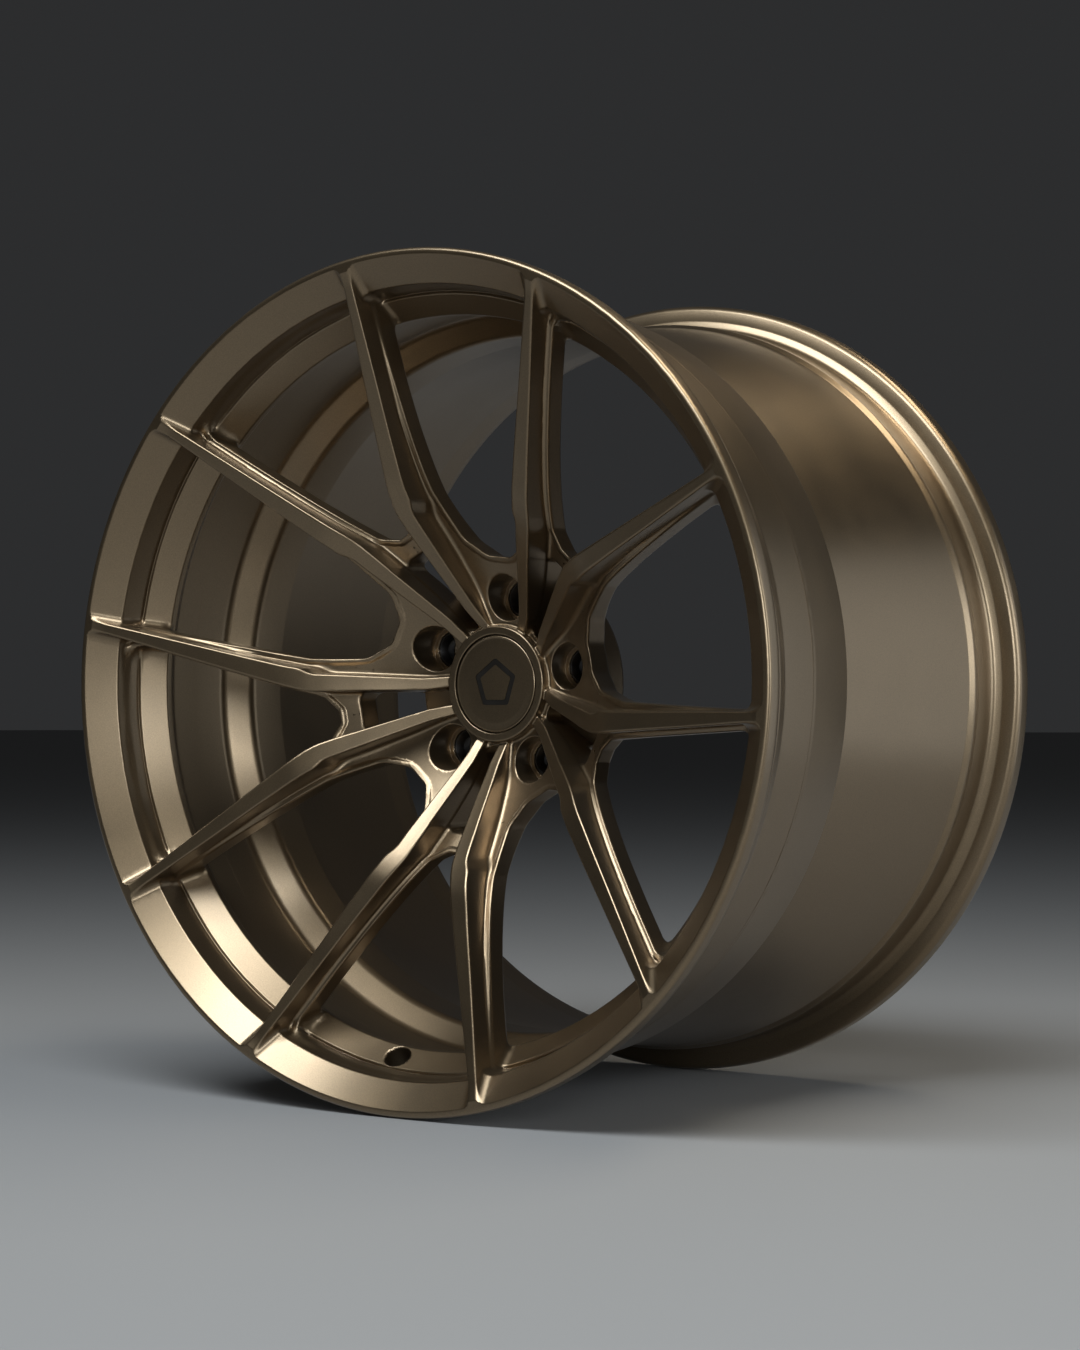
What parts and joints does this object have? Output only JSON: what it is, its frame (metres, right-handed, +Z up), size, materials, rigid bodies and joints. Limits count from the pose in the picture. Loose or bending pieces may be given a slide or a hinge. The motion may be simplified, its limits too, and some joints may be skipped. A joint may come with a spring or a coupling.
{
  "type": "forged racing wheel rim",
  "caption": "Deep concave forged racing wheel in satin bronze, with slim paired spokes, a stepped lip, a wide drop-centre barrel and a pull-off centre cap.",
  "frame": {"origin": "on the wheel's axis, halfway across its width", "axes": "+Y along the wheel's axis from the face to the back, +Z up as the wheel stands, +X to the right seen from the front"},
  "size_m": [0.548, 0.338, 0.548],
  "materials": {
    "bronze_paint": "satin",
    "seat_steel": "satin",
    "ring_alloy": "satin",
    "dark_enamel": "satin",
    "clip_plastic": "matte"
  },
  "bodies": {
    "wheel": {"rim_lip": "bronze_paint", "rim_well": "bronze_paint", "rim_rear_flange": "bronze_paint", "forged_centre": "bronze_paint", "spoke_pair_1": "bronze_paint", "spoke_pair_2": "bronze_paint", "spoke_pair_3": "bronze_paint", "spoke_pair_4": "bronze_paint", "spoke_pair_5": "bronze_paint", "lug_seat_1": "seat_steel", "lug_seat_2": "seat_steel", "lug_seat_3": "seat_steel", "lug_seat_4": "seat_steel", "lug_seat_5": "seat_steel", "hub_centring_ring": "ring_alloy"},
    "centre_cap": {"cap_face": "bronze_paint", "cap_inlay": "dark_enamel", "cap_clip_body": "clip_plastic", "cap_spring_ring": "seat_steel"}
  },
  "joints": [
    {"name": "cap_pull", "type": "slide", "parent": "wheel", "child": "centre_cap", "axis": [0, -1, 0], "range_m": [0, 0.05]}
  ]
}
